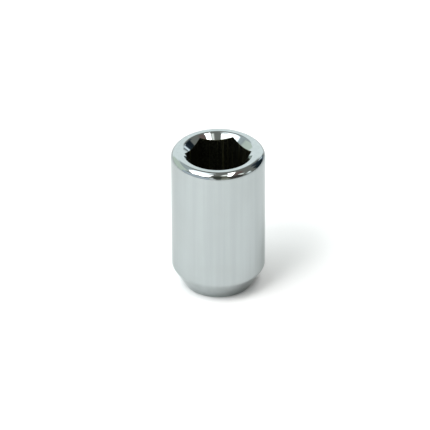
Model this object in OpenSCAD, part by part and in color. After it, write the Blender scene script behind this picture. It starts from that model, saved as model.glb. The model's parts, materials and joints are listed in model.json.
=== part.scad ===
// Barrel lug nut with an internal hexagon drive and a conical seat, turned from one piece of bar.
// Millimetres. +Z runs along the bore from the seat end to the drive end, and the origin is the
// centre of the flat face at the seat end. Two corners of the hexagon lie on the X axis.

/* [Barrel] */
// Diameter of the cylindrical barrel
barrel_d = 20.9; // [18:0.1:24]
// Overall length, from the seat end to the rim
nut_l = 33.65; // [28:0.05:45]
// Radius of the rounding round the outside of the rim
rim_round_r = 1.6; // [0.4:0.1:1.8]

/* [Seat] */
// Included angle of the conical seat
seat_angle = 60; // [50:1:90]
// Diameter of the flat face at the small end of the seat
seat_face_d = 15.5; // [14:0.1:17.5]
// Radius that blends the seat into the barrel
seat_blend_r = 1.5; // [0.2:0.1:2]
// Radius on the edge between the seat and its flat face
face_edge_r = 0.25; // [0.1:0.05:0.4]

/* [Drive socket] */
// Distance across the flats of the hexagon
drive_af = 12.7; // [11:0.1:13.5]
// Depth of the hexagon, from the rim to the floor at its corners
drive_depth = 13; // [8:0.5:16]
// How far the lead-in reaches past the corners of the hexagon, on the rim's flat
mouth_margin = 0.72; // [0.4:0.02:1]
// Angle of the lead-in below the rim's flat
lead_in_angle = 35; // [20:1:50]
// Radius on the edge between the rim's flat and the lead-in
lip_edge_r = 1.25; // [0.1:0.05:1.5]
// Angle of the socket's floor below the horizontal
floor_angle = 30; // [15:1:45]

/* [Thread] */
// Nominal diameter of the thread
thread_d = 12; // [10:0.5:14]
// Pitch of the thread
thread_pitch = 1.5; // [1:0.25:1.75]
// How far the entry countersink reaches past the thread's nominal radius
entry_margin = 0.4; // [0.1:0.05:0.7]
// Angle of the entry countersink to the bore's axis
entry_angle = 45; // [30:1:60]

/* [Hidden] */
$fn = 120;
CHROME = [0.80, 0.83, 0.83];
HEX_SIDES = 6;
// How far a cut runs past the face it opens
cut_past = 1;
// How far a rounding's circle stands proud of its two edges, so that it crosses them cleanly
proud = 0.0003;
// The most of the rim's width that its outer rounding and its lip may take; the rest stays flat
RIM_SHARE = 0.75;
LIP_SHARE = 0.2;
// How much of an ISO internal thread's 60 degree triangle its crests stand inside the nominal radius
CREST_SHARE = 5 / 8;

barrel_r = barrel_d / 2;
seat_face_r = seat_face_d / 2;
seat_h = (barrel_r - seat_face_r) / tan(seat_angle / 2);
drive_corner_r = drive_af / 2 / cos(180 / HEX_SIDES);
mouth_r = drive_corner_r + mouth_margin;
floor_z = nut_l - drive_depth;
thread_crest_h = CREST_SHARE * thread_pitch * cos(30);
core_r = thread_d / 2 - thread_crest_h;
entry_r = thread_d / 2 + entry_margin;
entry_h = (entry_r - core_r) / tan(entry_angle);
// Roundings stop at the wall that carries them, so the rim and the seat's face each keep a flat
rim_wall = barrel_r - mouth_r;
rim_r = min(rim_round_r, rim_wall * RIM_SHARE);
lip_r = min(lip_edge_r, rim_wall * LIP_SHARE / tan(lead_in_angle / 2));
face_r = min(face_edge_r, seat_face_r - entry_r);

// Unit vector at an angle in the section plane
function along(angle) = [cos(angle), sin(angle)];

// Takes the point off a convex corner of a section and leaves an arc of radius r. The two edges
// leave the corner at the angles edge_a and edge_b.
module round_corner(corner, edge_a, edge_b, r) {
    half = abs(edge_a - edge_b) / 2;
    inward = along((edge_a + edge_b) / 2);
    centre = corner + inward * (r - proud) / sin(half);
    run = r / tan(half);
    difference() {
        polygon([
            corner + along(edge_a) * run,
            corner - inward * r,
            corner + along(edge_b) * run,
            centre
        ]);
        translate(centre) circle(r);
    }
}

// Half section of the turned outside: flat face, conical seat, barrel and rim
module outside_section() {
    difference() {
        polygon([
            [0, 0],
            [seat_face_r, 0],
            [barrel_r, seat_h],
            [barrel_r, nut_l],
            [0, nut_l]
        ]);
        round_corner([seat_face_r, 0], 90 - seat_angle / 2, 180, face_r);
        round_corner([barrel_r, seat_h], 90, 270 - seat_angle / 2, seat_blend_r);
        round_corner([barrel_r, nut_l], 180, 270, rim_r);
    }
}

// Half section of the space inside: entry countersink and the thread's core, right through
module bore_section() {
    polygon([
        [0, -cut_past],
        [entry_r + cut_past * tan(entry_angle), -cut_past],
        [core_r, entry_h],
        [core_r, nut_l + cut_past],
        [0, nut_l + cut_past]
    ]);
}

// Half section of the lead-in: a cone from the mouth down to the axis
module lead_in_section() {
    polygon([
        [0, nut_l - mouth_r * tan(lead_in_angle)],
        [mouth_r, nut_l],
        [mouth_r, nut_l + cut_past],
        [0, nut_l + cut_past]
    ]);
}

// Half section of the room above the socket's conical floor
module socket_section() {
    polygon([
        [0, floor_z - drive_corner_r * tan(floor_angle)],
        [drive_corner_r + cut_past, floor_z + cut_past * tan(floor_angle)],
        [drive_corner_r + cut_past, nut_l + cut_past],
        [0, nut_l + cut_past]
    ]);
}

// Everything that is round: the outside with its bore and lead-in, and the lip between them
module turned_body() {
    rotate_extrude()
        difference() {
            outside_section();
            bore_section();
            lead_in_section();
            round_corner([mouth_r, nut_l], 0, -180 + lead_in_angle, lip_r);
        }
}

// The hexagon for the key, closed below by the conical floor round the thread
module drive_socket() {
    intersection() {
        translate([0, 0, floor_z - drive_corner_r])
            cylinder(h = drive_depth + drive_corner_r + cut_past, r = drive_corner_r, $fn = HEX_SIDES);
        rotate_extrude() socket_section();
    }
}

module nut_body() {
    color(CHROME)
        difference() {
            turned_body();
            drive_socket();
        }
}

nut_body();
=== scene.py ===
"""Looks of the chromed lug nut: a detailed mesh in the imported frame, its materials, the studio and camera."""

import json
import math

import bpy
import numpy as np
from mathutils import Matrix, Quaternion, Vector


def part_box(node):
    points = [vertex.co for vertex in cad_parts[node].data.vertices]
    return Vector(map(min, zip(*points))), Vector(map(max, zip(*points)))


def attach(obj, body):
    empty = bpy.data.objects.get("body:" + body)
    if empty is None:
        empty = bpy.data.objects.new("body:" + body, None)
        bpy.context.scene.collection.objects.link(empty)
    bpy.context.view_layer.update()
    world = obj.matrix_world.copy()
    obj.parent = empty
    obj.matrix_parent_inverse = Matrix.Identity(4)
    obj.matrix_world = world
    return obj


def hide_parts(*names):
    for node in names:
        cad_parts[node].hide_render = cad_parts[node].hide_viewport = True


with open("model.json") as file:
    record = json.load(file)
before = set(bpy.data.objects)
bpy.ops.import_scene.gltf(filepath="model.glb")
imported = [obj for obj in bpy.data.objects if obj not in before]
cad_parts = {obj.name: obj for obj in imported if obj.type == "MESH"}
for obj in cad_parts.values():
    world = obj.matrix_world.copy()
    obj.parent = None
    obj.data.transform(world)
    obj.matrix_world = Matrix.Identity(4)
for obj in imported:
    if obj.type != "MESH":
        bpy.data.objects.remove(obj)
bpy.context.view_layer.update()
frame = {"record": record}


def tangent(angle):
    """Tangent of an angle in degrees."""
    return math.tan(math.radians(angle))


# ---------------------------------------------------------------- sizes, in metres and degrees

MM = 0.001

mounts = {mount["name"]: mount for mount in frame["record"]["mounts"]}

BARREL_R = mounts["barrel"]["dims"]["r_mm"] * MM
NUT_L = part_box("nut_body")[1].z
RIM_ROUND_R = 1.6 * MM

# The conical seat, whose small end is the face that the nut stands on
SEAT_HALF_ANGLE = 30
SEAT_FACE_R = 7.75 * MM
SEAT_H = (BARREL_R - SEAT_FACE_R) / tangent(SEAT_HALF_ANGLE)
SEAT_BLEND_R = 1.5 * MM
FACE_EDGE_R = 0.25 * MM

# The hexagon socket
DRIVE_AF = 12.7 * MM
DRIVE_DEPTH = 13 * MM
HEX_SIDES = 6
DRIVE_CORNER_R = DRIVE_AF / 2 / math.cos(math.pi / HEX_SIDES)
DRIVE_CORNER_ROUND = 0.15 * MM
DRIVE_EDGE_R = 0.2 * MM

# The lead-in cone above it, which passes the hexagon's corners by a margin at the mouth, and the rounded lip
LEAD_IN_ANGLE = 35
LEAD_IN_MARGIN = 0.72 * MM
MOUTH_R = DRIVE_CORNER_R + LEAD_IN_MARGIN
LIP_EDGE_R = 1.25 * MM

# The socket's conical floor, with its height and depth given at the hexagon's corners
FLOOR_Z = NUT_L - DRIVE_DEPTH
FLOOR_ANGLE = 30
FLOOR_FILLET_R = 0.3 * MM

# The stud's thread and the countersink at its entry
THREAD_PITCH = 1.5 * MM
THREAD_CORE_R = mounts["stud_thread"]["dims"]["r_mm"] * MM
THREAD_ROOT_R = 6.0 * MM
CREST_SHARE = 0.25
ROOT_SHARE = 0.125
ENTRY_R = 6.4 * MM
ENTRY_ANGLE = 45
ENTRY_EDGE_R = 0.12 * MM

# ---------------------------------------------------------------- half sections, as points (radius, height)

# How close to its two ends a straight stretch has its first and last point, with less for short stretches
# and never more than a share of the stretch
END_MARGIN = 0.04 * MM
SHORT_END_MARGIN = 0.01 * MM
LARGEST_MARGIN_SHARE = 0.2

LEAD_IN_ROWS = 6


def unit(angle):
    """Unit vector at an angle in degrees, in the plane of a half section."""
    return np.array([math.cos(math.radians(angle)), math.sin(math.radians(angle))])


def rounded(corner, normal_in, normal_out, radius, steps):
    """Points along the arc that rounds a corner between two faces with outward normals at these angles.
    The arc bulges out of the metal where the normals turn anticlockwise, and into it where they turn back."""
    bulge = 1 if normal_out > normal_in else -1
    a, b = unit(normal_in), unit(normal_out)
    centre = np.asarray(corner) - bulge * radius * (a + b) / (1 + a @ b)
    return [centre + bulge * radius * unit(t) for t in np.linspace(normal_in, normal_out, steps + 1)]


def straight(start, end, rows, margin=END_MARGIN):
    """Evenly spaced points between two ends, which are left out. The first and last are a margin from them,
    so that shading stays flat."""
    start, end = np.asarray(start), np.asarray(end)
    share = min(margin / np.linalg.norm(end - start), LARGEST_MARGIN_SHARE)
    return [start + (end - start) * t for t in np.linspace(share, 1 - share, rows)]


def hexagon_radius(angle):
    """Distance from the axis to the hexagon's wall, whose corners are slightly rounded."""
    sector = 2 * math.pi / HEX_SIDES
    from_corner = (angle + sector / 2) % sector - sector / 2
    centre = (DRIVE_AF / 2 - DRIVE_CORNER_ROUND) / math.cos(sector / 2)
    across = centre * math.sin(from_corner)
    # On the corner's rounding, as far as it runs before it meets a flat
    if abs(across) < DRIVE_CORNER_ROUND:
        on_arc = centre * math.cos(from_corner) + math.sqrt(DRIVE_CORNER_ROUND**2 - across**2)
        turned = math.asin(min(1.0, on_arc * abs(math.sin(from_corner)) / DRIVE_CORNER_ROUND))
        if turned < sector / 2:
            return on_arc
    return DRIVE_AF / 2 / math.cos(sector / 2 - abs(from_corner))


def floor_height(radius):
    """Height of the socket's conical floor at a distance from the axis."""
    return FLOOR_Z - (DRIVE_CORNER_R - radius) * tangent(FLOOR_ANGLE)


def floor_radius(height):
    """Distance from the axis to the socket's conical floor at a height."""
    return DRIVE_CORNER_R - (FLOOR_Z - height) / tangent(FLOOR_ANGLE)


def entry_radius(height):
    """Distance from the axis to the entry countersink at a height."""
    return ENTRY_R - height * tangent(ENTRY_ANGLE)


# Gaps that keep the plain rings at the thread's two ends clear of its root, and clear of its own rows
END_RING_GAP = 0.05 * MM
END_ROW_GAP = 0.03 * MM
THREAD_TOP_R = THREAD_ROOT_R + END_RING_GAP
THREAD_TOP = floor_height(THREAD_TOP_R)
THREAD_BOTTOM = (ENTRY_R - THREAD_ROOT_R) / tangent(ENTRY_ANGLE) - END_RING_GAP


def outside_rows():
    """The turned outside, from the seat's flat face up the seat and barrel and over the rim to the lip."""
    seat_normal = -SEAT_HALF_ANGLE
    face_edge = rounded((SEAT_FACE_R, 0), -90, seat_normal, FACE_EDGE_R, steps=5)
    seat_blend = rounded((BARREL_R, SEAT_H), seat_normal, 0, SEAT_BLEND_R, steps=10)
    rim = rounded((BARREL_R, NUT_L), 0, 90, RIM_ROUND_R, steps=36)
    lip = rounded((MOUTH_R, NUT_L), 90, 90 + LEAD_IN_ANGLE, LIP_EDGE_R, steps=16)
    return (
        face_edge
        + straight(face_edge[-1], seat_blend[0], rows=4)
        + seat_blend
        + straight(seat_blend[-1], rim[0], rows=6)
        + rim
        + straight(rim[-1], lip[0], rows=3)
        + lip
    )


def socket_column(angle, lip_end):
    """The drive socket at one angle: lead-in, hexagon wall and floor, down to the thread's top ring."""
    wall_r = hexagon_radius(angle)
    lead_in_normal = 90 + LEAD_IN_ANGLE
    floor_normal = 90 + FLOOR_ANGLE
    wall_top = (wall_r, NUT_L - (MOUTH_R - wall_r) * tangent(LEAD_IN_ANGLE))
    wall_foot = (wall_r, floor_height(wall_r))
    edge = rounded(wall_top, lead_in_normal, 180, DRIVE_EDGE_R, steps=4)
    fillet = rounded(wall_foot, 180, floor_normal, FLOOR_FILLET_R, steps=4)
    thread_top = np.array([THREAD_TOP_R, THREAD_TOP])
    return (
        straight(lip_end, edge[0], rows=LEAD_IN_ROWS)
        + edge
        + straight(edge[-1], fillet[0], rows=8)
        + fillet
        + straight(fillet[-1], thread_top, rows=3, margin=SHORT_END_MARGIN)
        + [thread_top]
    )


def entry_rows(outside_start):
    """The underside, from the thread's bottom ring to the outside: the countersink's rows, and the face's."""
    thread_bottom = np.array([entry_radius(THREAD_BOTTOM), THREAD_BOTTOM])
    edge = rounded((ENTRY_R, 0), 180 + ENTRY_ANGLE, 270, ENTRY_EDGE_R, steps=3)
    cone = [thread_bottom] + straight(thread_bottom, edge[0], rows=3, margin=SHORT_END_MARGIN)
    return cone, edge + straight(edge[-1], outside_start, rows=4)


# ---------------------------------------------------------------- the thread's section

# Shares of one pitch at which it is sampled: three on the crest, three on a flank, two in the root and three
# on the other flank
STATIONS = (0.015, 0.125, 0.235, 0.27, 0.405, 0.54, 0.585, 0.665, 0.71, 0.845, 0.98)


def thread_radius(share):
    """Radius of the ISO internal thread at a share of its pitch, which runs crest, flank, root, flank."""
    flank = (1 - CREST_SHARE - ROOT_SHARE) / 2
    rise = min(share - CREST_SHARE, 1 - share) / flank
    return THREAD_CORE_R + (THREAD_ROOT_R - THREAD_CORE_R) * min(max(rise, 0.0), 1.0)


def thread_column(angle):
    """The helix's stations in the bore at one angle, from the bottom up, as {number: (radius, height)}.
    Numbers run along the helix, so that one number is one continuous line round the bore."""
    whole_turns = int((THREAD_TOP - THREAD_BOTTOM) / THREAD_PITCH)
    column = {}
    # The turn that starts below the bore and the one that ends above it are partly inside.
    for turn in range(-1, whole_turns + 1):
        for i, share in enumerate(STATIONS):
            z = THREAD_BOTTOM + (turn + share + angle / (2 * math.pi)) * THREAD_PITCH
            if THREAD_BOTTOM + END_ROW_GAP < z < THREAD_TOP - END_ROW_GAP:
                r = max(thread_radius(share), entry_radius(z), floor_radius(z))
                column[turn * len(STATIONS) + i] = (r, z)
    return column


# ---------------------------------------------------------------- the nut's mesh

COLUMNS = 360
CORNER_CROWDING = 0.6
PLATED, BARE = 0, 1


def column_angles():
    """Angles of the mesh's columns, crowded towards the hexagon's corners."""
    even = np.arange(COLUMNS) * 2 * math.pi / COLUMNS
    return even - CORNER_CROWDING * np.sin(HEX_SIDES * even) / HEX_SIDES


class Shell:
    """Vertices and faces of the nut as they are added, with the material number of each face."""

    def __init__(self, angles):
        self.angles = angles
        self.verts = []
        self.faces = []
        self.finishes = []

    def add_vertex(self, angle, radius, height):
        """Adds a vertex, and returns its number."""
        self.verts.append((radius * math.cos(angle), radius * math.sin(angle), height))
        return len(self.verts) - 1

    def add_ring(self, points):
        """Adds one vertex in each column, and returns the number of the first."""
        first = len(self.verts)
        for angle, (radius, height) in zip(self.angles, points):
            self.add_vertex(angle, radius, height)
        return first

    def add_face(self, corners, finish):
        """Adds a face of those vertices, with a material number."""
        self.faces.append(corners)
        self.finishes.append(finish)

    def join_rings(self, ring_a, ring_b, finish):
        """Adds the quads between two rings, all the way round."""
        for j in range(COLUMNS):
            k = (j + 1) % COLUMNS
            self.add_face((ring_a + j, ring_a + k, ring_b + k, ring_b + j), finish)


def add_thread(shell, bottom_ring, top_ring):
    """The thread's helical grid, and the faces that close it against the plain rings at its ends."""
    columns = [
        {number: shell.add_vertex(angle, r, z) for number, (r, z) in thread_column(angle).items()}
        for angle in shell.angles
    ]
    # Once round the bore the helix has risen by a turn, so the first column follows the last one with its
    # numbers a turn lower.
    first_again = {number - len(STATIONS): vertex for number, vertex in columns[0].items()}
    for j, (left, right) in enumerate(zip(columns, columns[1:] + [first_again])):
        k = (j + 1) % COLUMNS
        shared = sorted(set(left) & set(right))
        for low, high in zip(shared, shared[1:]):
            shell.add_face((left[low], left[high], right[high], right[low]), BARE)
        low_left = [left[n] for n in sorted(left) if n <= shared[0]]
        low_right = [right[n] for n in sorted(right) if n <= shared[0]]
        high_left = [left[n] for n in sorted(left) if n >= shared[-1]]
        high_right = [right[n] for n in sorted(right) if n >= shared[-1]]
        shell.add_face((bottom_ring + j, *low_left, *reversed(low_right), bottom_ring + k), BARE)
        shell.add_face((*high_left, top_ring + j, top_ring + k, *reversed(high_right)), BARE)


def nut_mesh():
    """The whole nut as one closed mesh: rings of vertices joined by quads, and the thread's own helical grid.
    The outside and the lead-in are plated, and the socket, the thread and its countersink are bare."""
    shell = Shell(column_angles())
    turned = outside_rows()
    sockets = [socket_column(angle, turned[-1]) for angle in shell.angles]
    countersink, face = entry_rows(turned[0])

    outside = [shell.add_ring([point] * COLUMNS) for point in turned]
    socket = [shell.add_ring(row) for row in zip(*sockets)]
    underside = [shell.add_ring([point] * COLUMNS) for point in countersink + face]

    over_the_rim = outside + socket
    for i, (a, b) in enumerate(zip(over_the_rim, over_the_rim[1:])):
        shell.join_rings(a, b, PLATED if i < len(turned) + LEAD_IN_ROWS else BARE)
    for i, (a, b) in enumerate(zip(underside, underside[1:] + outside[:1])):
        shell.join_rings(a, b, BARE if i < len(countersink) else PLATED)
    add_thread(shell, underside[0], socket[-1])

    mesh = bpy.data.meshes.new("nut")
    mesh.from_pydata(shell.verts, [], shell.faces)
    mesh.polygons.foreach_set("use_smooth", [True] * len(shell.faces))
    mesh.polygons.foreach_set("material_index", shell.finishes)
    mesh.update()
    return mesh


# ---------------------------------------------------------------- shader nodes


def add_node(tree, kind, inputs=(), **settings):
    """A new node. Each pair of inputs is a socket's name or number, and a value or the output to link."""
    node = tree.nodes.new(kind)
    for name, value in settings.items():
        setattr(node, name, value)
    for name, value in inputs:
        if isinstance(value, bpy.types.NodeSocket):
            tree.links.new(value, node.inputs[name])
        else:
            node.inputs[name].default_value = value
    return node


def math_node(tree, operation, a, b):
    """A sum, product or the like of a and b, which are numbers or outputs."""
    return add_node(tree, "ShaderNodeMath", [(0, a), (1, b)], operation=operation).outputs[0]


def ramp(tree, value, low, high, out_low=0.0, out_high=1.0):
    """Smooth step of a value between two limits, from one result to another."""
    inputs = [("Value", value), ("From Min", low), ("From Max", high)]
    inputs += [("To Min", out_low), ("To Max", out_high)]
    return add_node(tree, "ShaderNodeMapRange", inputs, interpolation_type="SMOOTHSTEP").outputs["Result"]


def mix_colours(tree, share, a, b):
    """The colour at a share of the way from a to b, which are linear RGB triples or outputs."""
    a = a if isinstance(a, bpy.types.NodeSocket) else (*a, 1)
    b = b if isinstance(b, bpy.types.NodeSocket) else (*b, 1)
    inputs = [("Factor", share), (6, a), (7, b)]
    return add_node(tree, "ShaderNodeMix", inputs, data_type="RGBA").outputs[2]


def millimetres(tree, stretch=(1, 1, 1)):
    """Place on the object in millimetres, times a stretch along each axis."""
    place = add_node(tree, "ShaderNodeTexCoord").outputs["Object"]
    inputs = [(0, place), (1, tuple(s / MM for s in stretch))]
    return add_node(tree, "ShaderNodeVectorMath", inputs, operation="MULTIPLY").outputs[0]


def noise(tree, place, per_mm, detail, roughness=0.5):
    """Fractal noise from 0 to 1, of so many features a millimetre."""
    inputs = [("Vector", place), ("Scale", per_mm), ("Detail", detail), ("Roughness", roughness)]
    return add_node(tree, "ShaderNodeTexNoise", inputs).outputs["Fac"]


def bump(tree, height, depth_mm, normal=None):
    """Bump of a height from 0 to 1, so many millimetres deep, on top of another bump where one is given."""
    inputs = [("Height", height), ("Distance", depth_mm * MM), ("Strength", 1.0)]
    if normal is not None:
        inputs.append(("Normal", normal))
    return add_node(tree, "ShaderNodeBump", inputs).outputs["Normal"]


def edge_wear(tree, low, high):
    """1 along convex edges and 0 on flat or hollow surfaces."""
    pointiness = add_node(tree, "ShaderNodeNewGeometry").outputs["Pointiness"]
    return ramp(tree, pointiness, low, high)


def new_material(name):
    """A new material, its tree and its shader."""
    material = bpy.data.materials.new(name)
    material.use_nodes = True
    return material, material.node_tree, material.node_tree.nodes["Principled BSDF"]


# ---------------------------------------------------------------- chrome

CHROME_DULL_STREAK = (0.391, 0.425, 0.427)
CHROME_BRIGHT_STREAK = (0.418, 0.452, 0.455)
CHROME_SMUDGED = (0.389, 0.418, 0.415)
CHROME_WORN = (0.51, 0.555, 0.55)
CHROME_GRAZING = (0.84, 0.85, 0.85)


def chrome_material():
    """Decorative chrome: faint polishing streaks and hairlines along the nut, smudges, a trace of waviness
    and worn edges."""
    material, tree, shader = new_material("chrome_plate")
    shader.inputs["Metallic"].default_value = 1
    shader.inputs["Specular Tint"].default_value = (*CHROME_GRAZING, 1)
    place = millimetres(tree)
    streaks = noise(tree, millimetres(tree, stretch=(1, 1, 0.02)), per_mm=0.9, detail=4)
    hairlines = noise(tree, millimetres(tree, stretch=(1, 1, 0.04)), per_mm=9, detail=2)
    hairlines = ramp(tree, hairlines, 0.66, 0.74)
    smudges = noise(tree, place, per_mm=0.18, detail=2)
    waviness = noise(tree, millimetres(tree, stretch=(1, 1, 0.4)), per_mm=0.3, detail=1)
    worn = edge_wear(tree, low=0.53, high=0.62)

    tint = mix_colours(tree, ramp(tree, streaks, 0.35, 0.65), CHROME_DULL_STREAK, CHROME_BRIGHT_STREAK)
    smudged = ramp(tree, smudges, 0.3, 0.8, out_low=0, out_high=0.5)
    tint = mix_colours(tree, smudged, tint, CHROME_SMUDGED)
    tint = mix_colours(tree, math_node(tree, "MULTIPLY", worn, 0.4), tint, CHROME_WORN)
    tree.links.new(tint, shader.inputs["Base Color"])

    roughness = ramp(tree, smudges, 0.35, 0.75, out_low=0.035, out_high=0.065)
    roughness = math_node(tree, "ADD", roughness, math_node(tree, "MULTIPLY", hairlines, 0.08))
    roughness = math_node(tree, "ADD", roughness, math_node(tree, "MULTIPLY", worn, 0.05))
    tree.links.new(roughness, shader.inputs["Roughness"])

    normal = bump(tree, waviness, depth_mm=0.006)
    normal = bump(tree, hairlines, depth_mm=0.0004, normal=normal)
    tree.links.new(normal, shader.inputs["Normal"])
    return material


# ---------------------------------------------------------------- bare steel of the bore

# Painted shade: the steel's two main tones are far darker than bare steel, so that the socket and bore read as
# dark as the shade in them
PAINTED_SHADE_STEEL_DARK = (0.026, 0.028, 0.020)
PAINTED_SHADE_STEEL_LIGHT = (0.070, 0.072, 0.052)
STEEL_BROACHED = (0.190, 0.195, 0.110)
STEEL_OIL_FILM = (0.050, 0.048, 0.022)
STEEL_WORN = (0.20, 0.20, 0.19)


def bare_steel_material():
    """The bore's bare steel, which the plating hardly reaches: browned by oil, with the broach's marks along
    it, machining marks round it and worn crests. Its tones are painted near black as shade in the socket and
    bore."""
    material, tree, shader = new_material("bore_steel")
    shader.inputs["Metallic"].default_value = 1
    place = millimetres(tree)
    grain = noise(tree, place, per_mm=2.5, detail=4, roughness=0.6)
    film = noise(tree, place, per_mm=0.35, detail=3)
    rings = noise(tree, millimetres(tree, stretch=(0.05, 0.05, 1)), per_mm=6, detail=3)
    broaching = noise(tree, millimetres(tree, stretch=(1, 1, 0.03)), per_mm=1.1, detail=3)
    worn = edge_wear(tree, low=0.56, high=0.68)

    # Painted shade: the grain mixes between near-black tones that stand in for the shade inside the socket and
    # bore
    tint = mix_colours(tree, ramp(tree, grain, 0.3, 0.7), PAINTED_SHADE_STEEL_DARK, PAINTED_SHADE_STEEL_LIGHT)
    tint = mix_colours(tree, ramp(tree, broaching, 0.52, 0.68), tint, STEEL_BROACHED)
    filmed = ramp(tree, film, 0.45, 0.75, out_low=0, out_high=0.7)
    tint = mix_colours(tree, filmed, tint, STEEL_OIL_FILM)
    tint = mix_colours(tree, math_node(tree, "MULTIPLY", worn, 0.6), tint, STEEL_WORN)
    tree.links.new(tint, shader.inputs["Base Color"])

    roughness = ramp(tree, grain, 0.3, 0.7, out_low=0.30, out_high=0.50)
    roughness = math_node(tree, "SUBTRACT", roughness, math_node(tree, "MULTIPLY", worn, 0.12))
    tree.links.new(roughness, shader.inputs["Roughness"])

    normal = bump(tree, rings, depth_mm=0.012)
    normal = bump(tree, broaching, depth_mm=0.02, normal=normal)
    normal = bump(tree, grain, depth_mm=0.004, normal=normal)
    tree.links.new(normal, shader.inputs["Normal"])
    return material


# ---------------------------------------------------------------- the nut

nut = bpy.data.objects.new("nut", nut_mesh())
bpy.context.scene.collection.objects.link(nut)
nut.data.materials.append(chrome_material())
nut.data.materials.append(bare_steel_material())
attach(nut, "root")
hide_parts("nut_body")

# ---------------------------------------------------------------- camera

CAMERA_AZIMUTH = -3.1
CAMERA_ELEVATION = 32.6
CAMERA_DISTANCE = 0.85
CAMERA_ROLL = 0.22
VIEW_WIDTH = 95.66 * MM
AIM_LEFT = 0.735 * MM
AIM_HEIGHT = 16.85 * MM
SENSOR_WIDTH = 36  # in millimetres, as is the focal length


def add_camera():
    """A long lens in front of the nut and above it, aimed a little to the left of its middle."""
    azimuth, elevation = math.radians(CAMERA_AZIMUTH), math.radians(CAMERA_ELEVATION)
    towards_camera = Vector((
        math.sin(azimuth) * math.cos(elevation),
        -math.cos(azimuth) * math.cos(elevation),
        math.sin(elevation),
    ))
    screen_right = Vector((math.cos(azimuth), math.sin(azimuth), 0))
    aim = Vector((0, 0, AIM_HEIGHT)) - screen_right * AIM_LEFT
    lens = bpy.data.cameras.new("camera")
    lens.sensor_width = SENSOR_WIDTH
    lens.lens = SENSOR_WIDTH * CAMERA_DISTANCE / VIEW_WIDTH
    camera = bpy.data.objects.new("camera", lens)
    bpy.context.scene.collection.objects.link(camera)
    camera.location = aim + towards_camera * CAMERA_DISTANCE
    roll = Quaternion((0, 0, 1), math.radians(-CAMERA_ROLL))
    camera.rotation_euler = ((-towards_camera).to_track_quat("-Z", "Y") @ roll).to_euler()
    bpy.context.scene.camera = camera


add_camera()

# ---------------------------------------------------------------- floor

FLOOR_SIZE = 3.0
PAPER_DARK = (0.83, 0.83, 0.83)
PAPER_LIGHT = (0.87, 0.87, 0.87)


def floor_material():
    """Matt white paper with a faint tooth."""
    material, tree, shader = new_material("floor")
    shader.inputs["Roughness"].default_value = 0.9
    shader.inputs["Specular IOR Level"].default_value = 0.1
    tooth = noise(tree, millimetres(tree), per_mm=3, detail=4)
    tree.links.new(mix_colours(tree, tooth, PAPER_DARK, PAPER_LIGHT), shader.inputs["Base Color"])
    tree.links.new(bump(tree, tooth, depth_mm=0.01), shader.inputs["Normal"])
    return material


half = FLOOR_SIZE / 2
floor_corners = [(-half, -half, 0), (half, -half, 0), (half, half, 0), (-half, half, 0)]
floor_mesh = bpy.data.meshes.new("floor")
floor_mesh.from_pydata(floor_corners, [], [(0, 1, 2, 3)])
floor_mesh.materials.append(floor_material())
floor = bpy.data.objects.new("floor", floor_mesh)
bpy.context.scene.collection.objects.link(floor)

# ---------------------------------------------------------------- studio

# What stands round the nut is placed by bearing and height in degrees. Bearings run clockwise seen from above
# and start behind the nut as the camera sees it, so that 90 is to its right. Heights are above the floor.
CEILING = (0.31, 0.315, 0.29)

# Plain cards, each over the ones before it, in degrees but for the colour:
# bearing and height of its middle, roll, half width, half height, width of its soft edge, colour
CARDS = (
    (-12, 16, 0, 46, 27, 12, (1.45, 1.55, 1.56)),  # broad and white, behind
    (-66, 16, 0, 25, 28, 8, (1.0, 1.12, 1.0)),  # greenish, at the left
    (-60, 52, 0, 26, 9, 10, (0.70, 0.79, 0.81)),  # dimmer, over it
    (-84, 63.5, 43, 24, 10.5, 3, (2.5, 2.65, 2.75)),  # bright and tilted, high at the left
    (-125, 11, 0, 36, 17, 12, (0.78, 0.87, 0.95)),  # bluish, low at the left front
    (-167, 12, 0, 7, 19, 4, (1.05, 1.08, 1.08)),  # narrow, low in front
    (163, 42, 0, 12, 26, 8, (0.24, 0.24, 0.185)),  # olive, in front
    (165, 7, 0, 9, 12, 6, (0.55, 0.57, 0.49)),  # paler, under it
    (-178, 36, 0, 9, 22, 5, (0.085, 0.095, 0.08)),  # nearly black, straight in front
    (105, 61, 43, 9, 24, 8, (0.28, 0.20, 0.185)),  # brown, high at the right
    (150, 68, 43, 5, 9, 4, (2.2, 2.2, 2.1)),  # bright, high at the right front
    (136, 22, 0, 15, 18, 6, (0.10, 0.09, 0.085)),  # dark, low at the right front
    (104, 12, 0, 7, 12, 6, (0.75, 0.80, 0.80)),  # pale, low at the right
    (101, 21, 0, 4, 4, 2, (2.2, 2.3, 2.3)),  # small and bright, at the right
    (117, 38, -20, 4.5, 7, 2, (1.9, 1.95, 1.85)),  # small and bright, at the right front
    (47, 12, 0, 8, 22, 6, (0.22, 0.28, 0.34)),  # dim blue, at the right behind
    (49, 37, 0, 9, 12, 4, (0.075, 0.10, 0.13)),  # darker blue, over it
    (57, 37, -30, 5.5, 6, 3, (0.018, 0.028, 0.038)),  # nearly black, over its right edge
    (65, 11, 0, 16, 22, 4, (0.018, 0.032, 0.042)),  # nearly black, low at the right
    (43, 25, -8, 1.7, 8, 1.5, (1.5, 1.65, 1.75)),  # a bright slit, at the right behind
)
# Least share of a direction along a card's own, so that no card shows again on the opposite side
SMALLEST_AHEAD = 0.001

# Softboxes: name, bearing and height of the middle, roll, half width and half height, all in degrees, then
# the distance in metres and the radiance. The lamp stands just in front of the key.
SOFTBOXES = (
    ("key", -121, 56, -34, 19, 18, 0.33, 3.25),
    ("lamp", -136, 54, -34, 8, 12, 0.32, 11.0),
    ("strip", 124, 68, 43, 4.2, 25, 0.6, 7.4),
)


def direction(bearing, height):
    """Unit vector towards a bearing and height."""
    turned, raised = math.radians(bearing - CAMERA_AZIMUTH), math.radians(height)
    return Vector((
        math.sin(turned) * math.cos(raised),
        math.cos(turned) * math.cos(raised),
        math.sin(raised),
    ))


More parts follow.
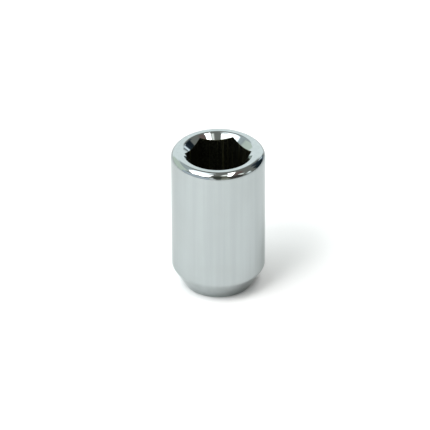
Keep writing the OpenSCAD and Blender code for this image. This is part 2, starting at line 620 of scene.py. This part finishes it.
def card_axes(bearing, height, roll):
    """The way to a card from the nut, and the card's own right and up, turned by its roll."""
    ahead = direction(bearing, height)
    right = ahead.cross(Vector((0, 0, 1))).normalized()
    up = right.cross(ahead)
    cos, sin = math.cos(math.radians(roll)), math.sin(math.radians(roll))
    return ahead, right * cos + up * sin, up * cos - right * sin


def studio_world():
    """Soft studio surroundings: a dim ceiling with light and dark cards standing round the nut."""
    world = bpy.data.worlds.new("studio")
    bpy.context.scene.world = world
    world.use_nodes = True
    tree = world.node_tree
    towards = add_node(tree, "ShaderNodeTexCoord").outputs["Generated"]

    def along(axis):
        """Share of the viewed direction that runs along an axis."""
        inputs = [(0, towards), (1, axis)]
        return add_node(tree, "ShaderNodeVectorMath", inputs, operation="DOT_PRODUCT").outputs["Value"]

    def inside(offset, ahead, half_angle, soft):
        """1 within a card's half width or half height and 0 beyond it, with a soft edge."""
        slope = math_node(tree, "DIVIDE", math_node(tree, "ABSOLUTE", offset, 0), ahead)
        edge = tangent(half_angle)
        blur = tangent(soft) / 2
        return ramp(tree, slope, edge + blur, edge - blur)

    colour = CEILING
    for bearing, height, roll, half_width, half_height, soft, card in CARDS:
        ahead, right, up = [along(axis) for axis in card_axes(bearing, height, roll)]
        ahead = math_node(tree, "MAXIMUM", ahead, SMALLEST_AHEAD)
        mask = inside(right, ahead, half_width, soft)
        mask = math_node(tree, "MULTIPLY", mask, inside(up, ahead, half_height, soft))
        colour = mix_colours(tree, mask, colour, card)
    tree.links.new(colour, tree.nodes["Background"].inputs["Color"])


def add_softbox(name, bearing, height, roll, half_width, half_height, distance, radiance):
    """A rectangular softbox that faces the nut."""
    ahead, right, up = card_axes(bearing, height, roll)
    light = bpy.data.lights.new(name, "AREA")
    light.shape = "RECTANGLE"
    light.size = 2 * distance * tangent(half_width)
    light.size_y = 2 * distance * tangent(half_height)
    light.energy = radiance * math.pi * light.size * light.size_y
    box = bpy.data.objects.new(name, light)
    bpy.context.scene.collection.objects.link(box)
    box.matrix_world = Matrix((-right, up, ahead)).transposed().to_4x4()
    box.matrix_world.translation = ahead * distance + Vector((0, 0, NUT_L / 2))


studio_world()
for settings in SOFTBOXES:
    add_softbox(*settings)

bpy.context.scene.view_settings.view_transform = "Standard"
